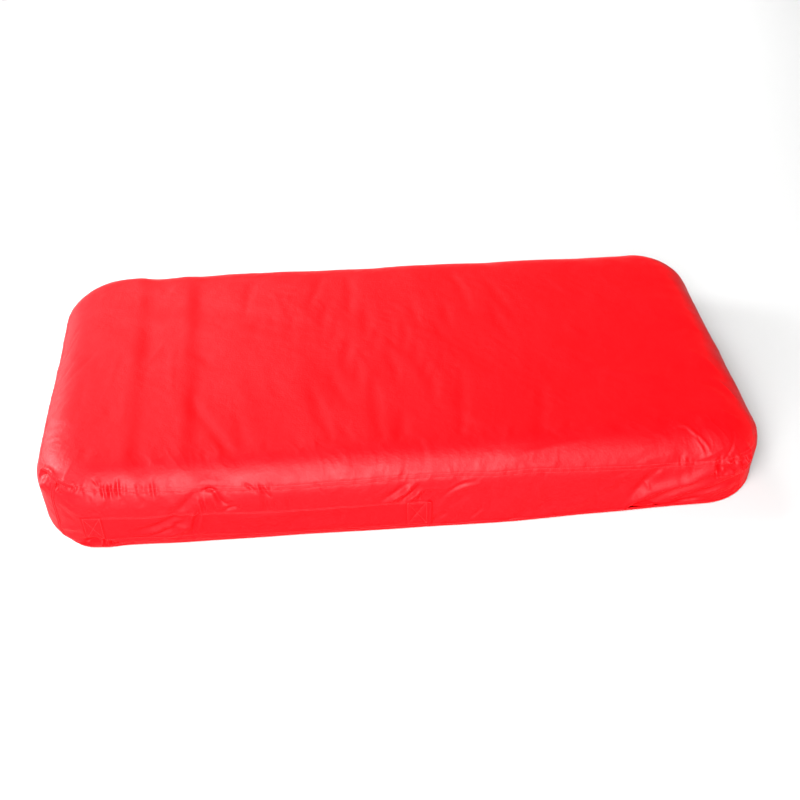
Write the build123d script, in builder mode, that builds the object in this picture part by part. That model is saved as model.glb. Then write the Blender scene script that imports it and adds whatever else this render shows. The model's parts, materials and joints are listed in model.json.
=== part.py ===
"""Fitted cover over a layered foam pad, in millimetres.

Frame: +X along the pad, towards its thinner end, +Z up, -Y towards the side that
carries the strap. The origin is at the middle of the footprint, on the floor.

Every ply is what lies between two nested slabs, cut to its own stretch of the
pad: slab(inset) is the whole pad shape, moved in by inset from the envelope.
"""
import math
import os

from build123d import *

# the whole pad
LENGTH = 1200.0
WIDTH = 600.0
PLAN_RADIUS = 108.0
SHOULDER_RADIUS = 62.0
FOOT_RADIUS = 8.0
TOP_HEIGHT = 143.0
TOP_FALL = 10.0
BLANK_HEIGHT = 220.0

# faces of the plies, as insets from the envelope
LIP_FACE = 0.0
TURN_FACE = 0.2
STRAP_FACE = 1.0
FELL_FACE = 1.2
PANEL_FACE = 2.0
PANEL_BACK = 3.0
CORE_FACE = 3.5
FOAM_FACE = 11.5
FABRIC = PANEL_BACK - PANEL_FACE

# seams
SEAM_HEIGHT = 109.0
SEAM_FALL = 16.0
FELL_WIDTH = 8.0
LIP_LOW = 7.0
LIP_HIGH = 10.0

# side strap, which runs down towards +X
STRAP_LOW = 12.0
STRAP_HIGH = 63.0
STRAP_FALL = 28.0
STRAP_LEFT = -530.0
STRAP_RIGHT = 32.0
TURN_LENGTH = 36.0

# gathered hem under the pad
HEM_EDGE = 77.0
CASING_START = 64.0
CASING_HEIGHT = 8.0
CASING_SLIT = 0.3
CORD_RADIUS = 2.2
CORD_INSET = 70.5
CORD_HEIGHT = 4.0
JOINER_RADIUS = 2.9
JOINER_LENGTH = 16.0
HEM_CLEARANCE = 1.0

# filling
LOWER_PAD_END = -350.0
LOWER_PAD = 5.0
UPPER_PAD_END = -438.0
UPPER_PAD = 3.0

TOP_SLOPE = TOP_FALL / (LENGTH / 2)
SEAM_SLOPE = SEAM_FALL / (LENGTH / 2)
STRAP_SLOPE = STRAP_FALL / (LENGTH / 2)


def tilted(height, slope):
    """A plane through (0, 0, height) that falls towards +X."""
    return Plane(origin=(0, 0, height), x_dir=(1, 0, -slope), z_dir=(slope, 0, 1))


def top_plane(inset):
    """The top face of slab(inset)."""
    drop = (inset - PANEL_FACE) * math.hypot(1, TOP_SLOPE)
    return tilted(TOP_HEIGHT - drop, TOP_SLOPE)


def seam_plane(rise=0.0):
    """The top seam's plane, or one above it by rise."""
    return tilted(SEAM_HEIGHT + rise, SEAM_SLOPE)


def plan(inset):
    """The pad's outline, moved in by inset."""
    return RectangleRounded(LENGTH - 2 * inset, WIDTH - 2 * inset, PLAN_RADIUS - inset)


def prism(inset, low, high):
    """A straight-sided block of the pad's outline."""
    with BuildPart() as block:
        with BuildSketch(Plane.XY.offset(low)):
            plan(inset)
        extrude(amount=high - low)
    return block.part


def slab(inset, low=None):
    """The pad shape moved in by inset; a given low leaves the foot square."""
    floor = inset - PANEL_FACE if low is None else low
    with BuildPart() as block:
        with BuildSketch(Plane.XY.offset(floor)):
            plan(inset)
        extrude(amount=BLANK_HEIGHT)
        split(bisect_by=top_plane(inset), keep=Keep.BOTTOM)
        shoulder = block.faces().sort_by(Axis.Z)[-1].edges()
        fillet(shoulder, SHOULDER_RADIUS + PANEL_FACE - inset)
        if low is None:
            foot = block.faces().sort_by(Axis.Z)[0].edges()
            fillet(foot, FOOT_RADIUS + PANEL_FACE - inset)
    return block.part


def between_x(low, high):
    """Keep the part in hand between two x values."""
    split(bisect_by=Plane.YZ.offset(low), keep=Keep.TOP)
    split(bisect_by=Plane.YZ.offset(high), keep=Keep.BOTTOM)


def along_strap():
    """Keep the part in hand between the strap's two edges, on its own long side."""
    split(bisect_by=tilted(STRAP_LOW, STRAP_SLOPE), keep=Keep.TOP)
    split(bisect_by=tilted(STRAP_HIGH, STRAP_SLOPE), keep=Keep.BOTTOM)
    on_side(side_y=-1)


def on_side(side_x=0, side_y=0):
    """Keep the part in hand on the given side of the pad's middle."""
    if side_x:
        split(bisect_by=Plane.YZ, keep=Keep.TOP if side_x > 0 else Keep.BOTTOM)
    if side_y:
        split(bisect_by=Plane.XZ, keep=Keep.BOTTOM if side_y > 0 else Keep.TOP)


def diagonal(side_x, side_y):
    """The upright plane through one plan corner at 45 degrees, facing its long side."""
    corner = (side_x * LENGTH / 2, side_y * WIDTH / 2, 0)
    return Plane(origin=corner, x_dir=(0, 0, 1), z_dir=(-side_x, side_y, 0))


def long_band(side_y):
    """The band along one long side, round to the middle of both corners."""
    with BuildPart() as band:
        add(panel_outer)
        split(bisect_by=seam_plane(), keep=Keep.BOTTOM)
        split(bisect_by=Plane.XY.offset(FOOT_RADIUS), keep=Keep.TOP)
        split(bisect_by=diagonal(-1, side_y), keep=Keep.TOP)
        split(bisect_by=diagonal(1, side_y), keep=Keep.TOP)
        on_side(side_y=side_y)
        add(panel_inner, mode=Mode.SUBTRACT)
    return band


def end_band(side_x):
    """The band across one end, round to the middle of both corners."""
    with BuildPart() as band:
        add(panel_outer)
        split(bisect_by=seam_plane(), keep=Keep.BOTTOM)
        split(bisect_by=Plane.XY.offset(FOOT_RADIUS), keep=Keep.TOP)
        split(bisect_by=diagonal(side_x, -1), keep=Keep.BOTTOM)
        split(bisect_by=diagonal(side_x, 1), keep=Keep.BOTTOM)
        add(panel_inner, mode=Mode.SUBTRACT)
    return band


def corner_seam(side_x, side_y):
    """The upright felled seam at the middle of one corner."""
    seam = diagonal(side_x, side_y)
    with BuildPart() as strip:
        add(fell_outer)
        split(bisect_by=seam_plane(-FELL_WIDTH / 2), keep=Keep.BOTTOM)
        split(bisect_by=Plane.XY.offset(LIP_HIGH), keep=Keep.TOP)
        split(bisect_by=seam.offset(-FELL_WIDTH / 2), keep=Keep.TOP)
        split(bisect_by=seam.offset(FELL_WIDTH / 2), keep=Keep.BOTTOM)
        on_side(side_x, side_y)
        add(panel_outer, mode=Mode.SUBTRACT)
    return strip


def strap_turn(low, high):
    """One turned-over end of the strap, sewn down with a boxed cross."""
    with BuildPart() as turn:
        add(turn_outer)
        between_x(low, high)
        along_strap()
        add(strap_outer, mode=Mode.SUBTRACT)
    return turn


panel_outer = slab(PANEL_FACE)
panel_inner = slab(PANEL_BACK)
fell_outer = slab(FELL_FACE)
strap_outer = slab(STRAP_FACE)
turn_outer = slab(TURN_FACE)

# ---- cover: panels ----
with BuildPart() as top_panel:
    add(panel_outer)
    split(bisect_by=seam_plane(), keep=Keep.TOP)
    add(panel_inner, mode=Mode.SUBTRACT)

front_band = long_band(-1)
back_band = long_band(1)
left_end_band = end_band(-1)
right_end_band = end_band(1)

# ---- cover: seams ----
with BuildPart() as top_seam_fell:
    add(fell_outer)
    split(bisect_by=seam_plane(-FELL_WIDTH / 2), keep=Keep.TOP)
    split(bisect_by=seam_plane(FELL_WIDTH / 2), keep=Keep.BOTTOM)
    add(panel_outer, mode=Mode.SUBTRACT)

corner_seam_fl = corner_seam(-1, -1)
corner_seam_fr = corner_seam(1, -1)
corner_seam_bl = corner_seam(-1, 1)
corner_seam_br = corner_seam(1, 1)

with BuildPart() as foot_seam_lip:
    add(slab(LIP_FACE))
    split(bisect_by=Plane.XY.offset(LIP_LOW), keep=Keep.TOP)
    split(bisect_by=Plane.XY.offset(LIP_HIGH), keep=Keep.BOTTOM)
    add(panel_outer, mode=Mode.SUBTRACT)

# ---- cover: strap ----
with BuildPart() as side_strap:
    add(strap_outer)
    between_x(STRAP_LEFT, STRAP_RIGHT)
    along_strap()
    add(panel_outer, mode=Mode.SUBTRACT)

strap_turn_left = strap_turn(STRAP_LEFT, STRAP_LEFT + TURN_LENGTH)
strap_turn_right = strap_turn(STRAP_RIGHT - TURN_LENGTH, STRAP_RIGHT)

# ---- cover: hem ----
hem_hole = prism(HEM_EDGE, -FABRIC, BLANK_HEIGHT)
casing_wall = prism(HEM_EDGE - FABRIC, 0, CASING_HEIGHT)
casing_hollow = prism(CASING_START + FABRIC, FABRIC, CASING_HEIGHT - FABRIC) - casing_wall
with BuildPart() as hem_skirt:
    add(panel_outer)
    split(bisect_by=Plane.XY.offset(FOOT_RADIUS), keep=Keep.BOTTOM)
    add(panel_inner, mode=Mode.SUBTRACT)
    add(prism(CASING_START, FABRIC + CASING_SLIT, CASING_HEIGHT))
    add(casing_wall)
    add(casing_hollow, mode=Mode.SUBTRACT)
    add(hem_hole, mode=Mode.SUBTRACT)

cord_side = WIDTH / 2 - CORD_INSET
joiner_place = Location((0, cord_side, CORD_HEIGHT), (0, 90, 0))
with BuildSketch(Plane.XY.offset(CORD_HEIGHT)) as cord_outline:
    plan(CORD_INSET)
with BuildPart() as hem_elastic:
    with BuildSketch(Plane(origin=(0, cord_side, CORD_HEIGHT), z_dir=(1, 0, 0))):
        Circle(CORD_RADIUS)
    sweep(path=cord_outline.face().outer_wire())
    with Locations(joiner_place):
        Cylinder(2 * CORD_RADIUS, JOINER_LENGTH, mode=Mode.SUBTRACT)

with BuildPart() as elastic_joiner:
    with Locations(joiner_place):
        Cylinder(JOINER_RADIUS, JOINER_LENGTH)

# ---- filling ----
foam_low = CORE_FACE - PANEL_FACE
foam_shape = slab(FOAM_FACE, low=foam_low)
foam_top = top_plane(FOAM_FACE).origin.Z
upper_bed = tilted(foam_top - UPPER_PAD, TOP_SLOPE)
lower_bed = tilted(foam_top - UPPER_PAD - LOWER_PAD, TOP_SLOPE)
groove_top = CASING_HEIGHT + HEM_CLEARANCE
boss = prism(HEM_EDGE + HEM_CLEARANCE, 0, groove_top)
groove = prism(CASING_START - HEM_CLEARANCE, 0, groove_top) - boss

with BuildPart() as head_pad_lower:
    add(foam_shape)
    split(bisect_by=lower_bed, keep=Keep.TOP)
    split(bisect_by=upper_bed, keep=Keep.BOTTOM)
    split(bisect_by=Plane.YZ.offset(LOWER_PAD_END), keep=Keep.BOTTOM)

with BuildPart() as head_pad_upper:
    add(foam_shape)
    split(bisect_by=upper_bed, keep=Keep.TOP)
    split(bisect_by=Plane.YZ.offset(UPPER_PAD_END), keep=Keep.BOTTOM)

with BuildPart() as step_fill:
    add(foam_shape)
    split(bisect_by=upper_bed, keep=Keep.TOP)
    between_x(UPPER_PAD_END, LOWER_PAD_END)

with BuildPart() as foam_right:
    add(foam_shape)
    split(bisect_by=Plane.YZ.offset(LOWER_PAD_END), keep=Keep.TOP)

with BuildPart() as foam_main_block:
    add(foam_shape)
    split(bisect_by=lower_bed, keep=Keep.BOTTOM)
    add(foam_right.part)
    add(boss)
    add(groove, mode=Mode.SUBTRACT)

with BuildPart() as wadding_layer:
    add(slab(CORE_FACE))
    add(slab(FOAM_FACE, low=-FOAM_FACE), mode=Mode.SUBTRACT)
    add(step_fill.part)

parts = {
    "foam_main_block": foam_main_block,
    "head_pad_lower": head_pad_lower,
    "head_pad_upper": head_pad_upper,
    "wadding_layer": wadding_layer,
    "top_panel": top_panel,
    "front_band": front_band,
    "back_band": back_band,
    "left_end_band": left_end_band,
    "right_end_band": right_end_band,
    "top_seam_fell": top_seam_fell,
    "corner_seam_fl": corner_seam_fl,
    "corner_seam_fr": corner_seam_fr,
    "corner_seam_bl": corner_seam_bl,
    "corner_seam_br": corner_seam_br,
    "foot_seam_lip": foot_seam_lip,
    "hem_skirt": hem_skirt,
    "hem_elastic": hem_elastic,
    "elastic_joiner": elastic_joiner,
    "side_strap": side_strap,
    "strap_turn_left": strap_turn_left,
    "strap_turn_right": strap_turn_right,
}

os.makedirs("parts", exist_ok=True)
for name, piece in parts.items():
    piece.part.label = name
    export_step(piece.part, f"parts/{name}.step")
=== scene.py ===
"""Coated-nylon fitted cover on a layered foam pad: the visual model around the CAD frame.

Metres throughout. The cover is one surface with two coordinates: u runs along the pad's
outline from the middle of the near side, towards +X, and l runs down the meridian from
the start of the shoulder, over it, down the band, round the foot and under the pad.
Depth is l measured from the top seam. Creases are listed in millimetres.
"""

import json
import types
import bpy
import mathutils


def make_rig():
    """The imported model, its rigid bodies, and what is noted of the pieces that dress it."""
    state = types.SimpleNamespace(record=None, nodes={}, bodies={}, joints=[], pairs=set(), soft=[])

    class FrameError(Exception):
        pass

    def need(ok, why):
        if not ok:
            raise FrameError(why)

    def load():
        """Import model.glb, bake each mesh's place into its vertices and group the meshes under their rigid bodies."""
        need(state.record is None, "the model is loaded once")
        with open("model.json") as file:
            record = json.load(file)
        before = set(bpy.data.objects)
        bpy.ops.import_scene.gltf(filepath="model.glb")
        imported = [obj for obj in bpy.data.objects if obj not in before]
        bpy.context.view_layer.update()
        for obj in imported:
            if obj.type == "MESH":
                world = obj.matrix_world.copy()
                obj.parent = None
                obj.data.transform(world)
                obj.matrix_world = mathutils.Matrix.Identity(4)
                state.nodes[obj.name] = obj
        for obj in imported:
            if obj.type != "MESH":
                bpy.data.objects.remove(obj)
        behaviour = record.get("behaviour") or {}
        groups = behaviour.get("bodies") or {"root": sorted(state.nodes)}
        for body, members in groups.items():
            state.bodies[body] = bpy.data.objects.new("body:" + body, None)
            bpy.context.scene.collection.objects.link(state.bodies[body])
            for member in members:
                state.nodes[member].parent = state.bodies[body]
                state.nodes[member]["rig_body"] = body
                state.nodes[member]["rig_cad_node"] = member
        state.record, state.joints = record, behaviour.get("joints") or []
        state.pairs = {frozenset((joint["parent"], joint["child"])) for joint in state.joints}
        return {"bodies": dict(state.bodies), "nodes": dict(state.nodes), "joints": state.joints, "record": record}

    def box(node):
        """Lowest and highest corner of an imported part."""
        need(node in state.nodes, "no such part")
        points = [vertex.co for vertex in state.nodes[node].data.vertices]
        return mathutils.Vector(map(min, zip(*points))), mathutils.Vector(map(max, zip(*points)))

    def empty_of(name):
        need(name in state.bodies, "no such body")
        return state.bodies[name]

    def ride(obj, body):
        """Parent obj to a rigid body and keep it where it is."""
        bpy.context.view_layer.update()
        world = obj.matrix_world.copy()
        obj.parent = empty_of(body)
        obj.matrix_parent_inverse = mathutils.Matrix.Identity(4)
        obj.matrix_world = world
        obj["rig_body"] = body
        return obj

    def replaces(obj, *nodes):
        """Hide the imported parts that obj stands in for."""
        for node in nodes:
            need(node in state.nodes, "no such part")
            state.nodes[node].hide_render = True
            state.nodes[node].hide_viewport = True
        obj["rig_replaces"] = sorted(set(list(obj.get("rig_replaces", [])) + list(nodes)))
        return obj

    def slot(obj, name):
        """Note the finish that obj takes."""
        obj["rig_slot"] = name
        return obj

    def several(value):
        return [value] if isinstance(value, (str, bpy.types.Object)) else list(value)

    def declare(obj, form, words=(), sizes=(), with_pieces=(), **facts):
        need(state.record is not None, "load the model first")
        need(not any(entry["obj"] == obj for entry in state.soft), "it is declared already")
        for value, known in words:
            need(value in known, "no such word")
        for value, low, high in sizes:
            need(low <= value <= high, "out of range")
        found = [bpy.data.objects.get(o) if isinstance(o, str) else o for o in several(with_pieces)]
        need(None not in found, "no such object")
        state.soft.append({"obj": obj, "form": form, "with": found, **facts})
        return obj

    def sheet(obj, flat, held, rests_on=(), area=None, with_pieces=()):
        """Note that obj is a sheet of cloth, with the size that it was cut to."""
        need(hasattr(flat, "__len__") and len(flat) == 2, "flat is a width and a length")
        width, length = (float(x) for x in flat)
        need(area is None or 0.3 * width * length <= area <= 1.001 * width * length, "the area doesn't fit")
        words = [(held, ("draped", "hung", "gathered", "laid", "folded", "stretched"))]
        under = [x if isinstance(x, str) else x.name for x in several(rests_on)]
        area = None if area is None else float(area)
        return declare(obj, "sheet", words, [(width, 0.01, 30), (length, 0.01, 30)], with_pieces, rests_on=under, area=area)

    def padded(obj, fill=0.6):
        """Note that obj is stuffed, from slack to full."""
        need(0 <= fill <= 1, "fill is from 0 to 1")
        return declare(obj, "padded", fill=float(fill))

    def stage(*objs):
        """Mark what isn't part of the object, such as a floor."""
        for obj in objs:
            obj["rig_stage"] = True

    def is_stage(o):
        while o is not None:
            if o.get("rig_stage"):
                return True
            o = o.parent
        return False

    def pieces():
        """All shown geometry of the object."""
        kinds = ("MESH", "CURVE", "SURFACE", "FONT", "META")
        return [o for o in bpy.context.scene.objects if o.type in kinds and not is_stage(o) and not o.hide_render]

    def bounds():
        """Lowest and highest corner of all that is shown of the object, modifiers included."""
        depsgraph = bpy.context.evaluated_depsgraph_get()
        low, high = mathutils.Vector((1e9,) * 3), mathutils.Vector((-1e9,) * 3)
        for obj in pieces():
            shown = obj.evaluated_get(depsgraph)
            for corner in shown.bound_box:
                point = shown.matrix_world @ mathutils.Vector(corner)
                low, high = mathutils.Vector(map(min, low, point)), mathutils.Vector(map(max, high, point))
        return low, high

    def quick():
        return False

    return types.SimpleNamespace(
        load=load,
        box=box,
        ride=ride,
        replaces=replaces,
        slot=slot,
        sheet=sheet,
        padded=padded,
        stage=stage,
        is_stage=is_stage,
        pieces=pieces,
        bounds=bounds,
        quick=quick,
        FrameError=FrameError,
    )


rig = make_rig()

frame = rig.load()

import json
import math

import bpy
import numpy as np
from mathutils import Matrix, Vector, geometry
from mathutils.bvhtree import BVHTree
from mathutils.kdtree import KDTree

CAD_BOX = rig.bounds()
MM = 0.001

# ---------------------------------------------------------------- driving dimensions
HALF_X, HALF_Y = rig.box("hem_skirt")[1].xy
SHOULDER = 0.062
TOP_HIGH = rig.box("top_panel")[1].z
TOP_FALL = 0.010 / 0.6
TOP_MIDDLE = TOP_HIGH - TOP_FALL * (HALF_X - SHOULDER)
SEAM_MIDDLE = 0.109
SEAM_FALL = 0.016 / 0.6
RADIUS_LEFT = 0.114
RADIUS_RIGHT = 0.100
LIP_HEIGHT = 0.0085
ELASTIC_RADIUS = 2.2 * MM
ELASTIC_TURN = 37.5 * MM
ELASTIC_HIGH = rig.box("hem_elastic")[1]
ELASTIC_HEIGHT = ELASTIC_HIGH.z - ELASTIC_RADIUS
ELASTIC_HEART = np.array(ELASTIC_HIGH.xy) - ELASTIC_RADIUS - ELASTIC_TURN
RING_INSET = 0.012
FAR_FOOT_RADIUS = 0.012
CROWN = 2.0 * MM
CLOTH = 0.8 * MM
TAPE = 0.5 * MM
SEAM_VALLEY = 0.45 * MM
PAD_GAP = 6.0 * MM
WADDING_SHELL = 4 * MM
BAND_FLAT_HEIGHT = 0.125
BACK_FLAT_LENGTH = 1.14
HEM_FLAT = (3.45, 0.125)
WRINKLE_CAP = 0.7 * MM
STITCH_PITCH = 3.4 * MM
NEEDLE_GAP = 6.4 * MM
HEM_PITCH = 3.5 * MM
FLOOR_RADIUS = 2.4
FOOT_RADII = [(-0.62, 0.024), (-0.56, 0.022), (-0.53, 0.014), (-0.50, 0.020), (-0.46, 0.024), (-0.35, 0.016),
              (-0.20, 0.010), (0.0, 0.005), (0.30, 0.005), (0.45, 0.010), (0.62, 0.012)]
NEAR_BOW = [(-0.50, 0.0), (-0.20, 0.0), (0.0, 0.004), (0.16, 0.007), (0.32, 0.003), (0.45, 0.0)]
LEFT_BOW = 0.0055
RIGHT_BOW = 0.004
FAR_BOW = 0.004
SEAM_WANDER = [(-0.60, 0.006), (-0.50, 0.0055), (-0.40, 0.001), (-0.33, 0.0005), (-0.25, -0.0035),
               (-0.19, -0.0042), (-0.10, -0.0015), (0.0, 0.0022), (0.08, 0.0022), (0.13, 0.0),
               (0.20, 0.0022), (0.28, -0.0003), (0.36, -0.002), (0.45, -0.001), (0.60, 0.001)]
FRONT_LEFT_SEAM = -0.573
FRONT_RIGHT_SEAM = 0.562


# ---------------------------------------------------------------- small maths
def smooth(t):
    t = np.clip(t, 0, 1)
    return t * t * (3 - 2 * t)


def bell(t):
    return np.exp(-t * t)


def track(x, stations):
    """A smooth line through (place, value) stations."""
    places = np.array([s[0] for s in stations])
    values = np.array([s[1] for s in stations])
    x = np.clip(x, places[0], places[-1])
    i = np.clip(np.searchsorted(places, x, side="right") - 1, 0, len(places) - 2)
    return values[i] + (values[i + 1] - values[i]) * smooth((x - places[i]) / (places[i + 1] - places[i]))


def waves(points, size, seed, lean=(0, 0, 0), terms=22):
    """A smooth random field of about unit strength, with features of the given size."""
    rng = np.random.RandomState(seed)
    way = rng.normal(size=(terms, 3))
    lean = np.array(lean, float)
    if lean.any():
        axis = lean / np.linalg.norm(lean)
        way = way * (1 - 0.72 * np.linalg.norm(lean)) + np.outer(np.sign(way @ axis), axis) * 1.2
    way /= np.linalg.norm(way, axis=1)[:, None]
    number = 2 * np.pi / size * rng.uniform(0.6, 1.5, terms)
    phase = rng.uniform(0, 2 * np.pi, terms)
    total = np.zeros(points.shape[:-1])
    for k in range(terms):
        total += np.cos(points @ (way[k] * number[k]) + phase[k])
    return total * math.sqrt(2 / terms)


def unit(v):
    return v / np.maximum(np.linalg.norm(v, axis=-1, keepdims=True), 1e-12)


def as_path(u):
    """Places along u, as points for waves."""
    return np.stack([u, 0 * u, 0 * u], -1)


def of_vertices(mesh, what):
    """A vector of every vertex of the mesh, one a row."""
    values = np.zeros(len(mesh.vertices) * 3)
    mesh.vertices.foreach_get(what, values)
    return values.reshape(-1, 3)


# ---------------------------------------------------------------- the cover's surface
def outline(u):
    """Plan point and outward normal at u; each half of the outline has its own corner radius."""
    u = np.asarray(u, float)
    side = np.where(u < 0, -1.0, 1.0)
    radius = np.where(u < 0, RADIUS_LEFT, RADIUS_RIGHT)
    run = np.abs(u)
    straight = HALF_X - radius
    arc = radius * np.pi / 2
    end = 2 * (HALF_Y - radius)
    near = np.clip((run - straight) / radius, 0, np.pi / 2)
    far = np.clip((run - straight - arc - end) / radius, 0, np.pi / 2)
    along_end = np.clip(run - straight - arc, 0, end)
    along_back = np.clip(run - straight - 2 * arc - end, 0, None)
    x = np.minimum(run, straight) + radius * np.sin(near) - radius * (1 - np.cos(far)) - along_back
    y = -HALF_Y + radius * (1 - np.cos(near)) + along_end + radius * np.sin(far)
    turn = near + far
    return x * side, y, np.sin(turn) * side, -np.cos(turn)


def half_outline(radius):
    return (HALF_X - radius) * 2 + radius * np.pi + 2 * (HALF_Y - radius)


U_LEFT = -half_outline(RADIUS_LEFT)
U_RIGHT = half_outline(RADIUS_RIGHT)


def top_height(x, y):
    crown = CROWN * (1 - (y / HALF_Y) ** 2) * (1 - (x / HALF_X) ** 2)
    return TOP_MIDDLE - x * TOP_FALL + crown


def foot_radius(x, y):
    return FAR_FOOT_RADIUS + (track(x, FOOT_RADII) - FAR_FOOT_RADIUS) * smooth(-y / 0.12)


def point(u, l):
    """The smooth surface, before any crease."""
    x0, y0, nx, ny = outline(u)
    l = np.asarray(l, float)
    foot = foot_radius(x0, y0)
    turn = np.clip(l / SHOULDER, 0, np.pi / 2)
    inset = SHOULDER * (1 - np.sin(turn)) - np.minimum(l, 0)
    top = top_height(x0 - nx * inset, y0 - ny * inset)
    down = np.clip(l - SHOULDER * np.pi / 2, 0, None)
    wall = top - SHOULDER - foot
    curl = np.clip((down - wall) / foot, 0, np.pi / 2)
    under = np.clip(down - wall - foot * np.pi / 2, 0, None)
    z = top - SHOULDER * (1 - np.cos(turn)) - np.minimum(down, wall) - foot * np.sin(curl)
    inset = inset + foot * (1 - np.cos(curl)) + under
    near = track(x0, NEAR_BOW) * np.clip(-ny, 0, 1) ** 2 * smooth(down / 0.07)
    ends = LEFT_BOW * np.clip(-nx, 0, 1) ** 2 + RIGHT_BOW * np.clip(nx, 0, 1) ** 2
    bow = near + (ends + FAR_BOW * np.clip(ny, 0, 1) ** 2) * smooth((l + 0.01) / 0.07)
    return np.stack([x0 - nx * (inset - bow), y0 - ny * (inset - bow), z], -1)


def seam_height(u):
    x0, y0, nx, ny = outline(u)
    return SEAM_MIDDLE - x0 * SEAM_FALL + np.where(y0 < 0, track(x0, SEAM_WANDER), 0) * smooth(-ny * 3)


def seam_length(u):
    """l at the top seam."""
    x0, y0, nx, ny = outline(u)
    inset = 0.008
    for _ in range(4):
        top = top_height(x0 - nx * inset, y0 - ny * inset)
        turn = np.arccos(np.clip(1 - (top - seam_height(u)) / SHOULDER, -1, 1))
        inset = SHOULDER * (1 - np.sin(turn))
    return turn * SHOULDER


def lip_length(u):
    """l at the foot lip."""
    x0, y0, nx, ny = outline(u)
    foot = foot_radius(x0, y0)
    drop = top_height(x0, y0) - SHOULDER - np.maximum(foot, LIP_HEIGHT)
    curl = np.arcsin(np.clip(1 - LIP_HEIGHT / foot, 0, 1))
    return SHOULDER * np.pi / 2 + drop + foot * curl


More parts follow.
